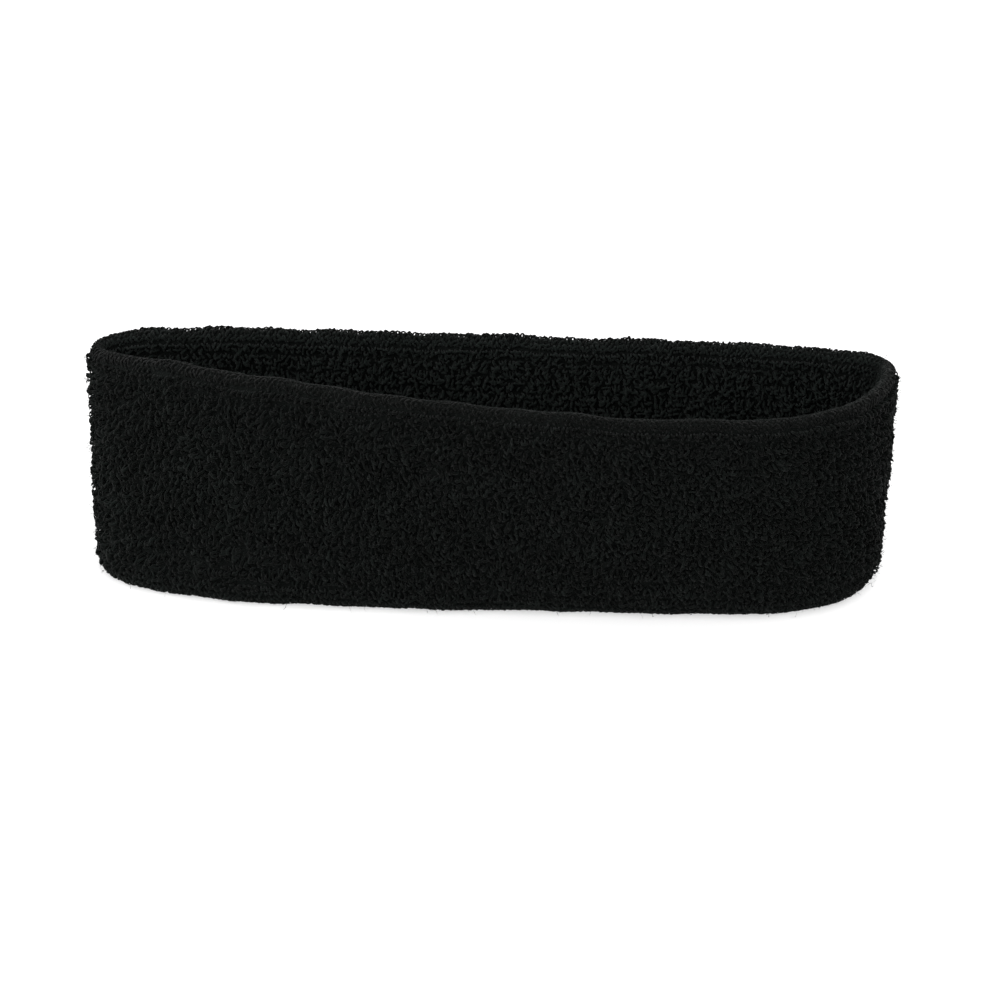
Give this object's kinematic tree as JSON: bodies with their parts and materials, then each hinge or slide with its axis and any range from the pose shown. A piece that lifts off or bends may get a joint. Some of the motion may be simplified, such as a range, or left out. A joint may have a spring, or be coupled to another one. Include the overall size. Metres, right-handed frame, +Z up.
{
  "type": "sports headband",
  "caption": "Soft terry sweatband: a double-walled knitted loop that stretches round the head, standing on its edge.",
  "frame": {"origin": "centre of the band's footprint, on the surface that its lower edge stands on", "axes": "+X along the length of the loop, towards its wide right end; -Y towards the front wall; +Z up through the loop"},
  "size_m": [0.1843, 0.0484, 0.05],
  "materials": {
    "terry_knit": "black cotton terry, looped pile",
    "plain_knit": "black plain knit, no pile",
    "sewing_thread": "black spun polyester thread",
    "elastic_yarn": "black covered rubber yarn"
  },
  "bodies": {
    "root": {"outer_terry": "terry_knit", "inner_terry_upper": "terry_knit", "inner_terry_lower": "terry_knit", "top_turn_rib": "plain_knit", "bottom_turn_rib": "plain_knit", "seam_allowance": "plain_knit", "seam_lower_looper_thread": "sewing_thread", "seam_needle_thread": "sewing_thread", "seam_upper_looper_thread": "sewing_thread", "elastic_yarn_01": "elastic_yarn", "elastic_yarn_02": "elastic_yarn", "elastic_yarn_03": "elastic_yarn", "elastic_yarn_04": "elastic_yarn", "elastic_yarn_05": "elastic_yarn", "elastic_yarn_06": "elastic_yarn", "elastic_yarn_07": "elastic_yarn", "elastic_yarn_08": "elastic_yarn", "elastic_yarn_09": "elastic_yarn", "elastic_yarn_10": "elastic_yarn", "elastic_yarn_11": "elastic_yarn", "elastic_yarn_12": "elastic_yarn"}
  },
  "joints": []
}
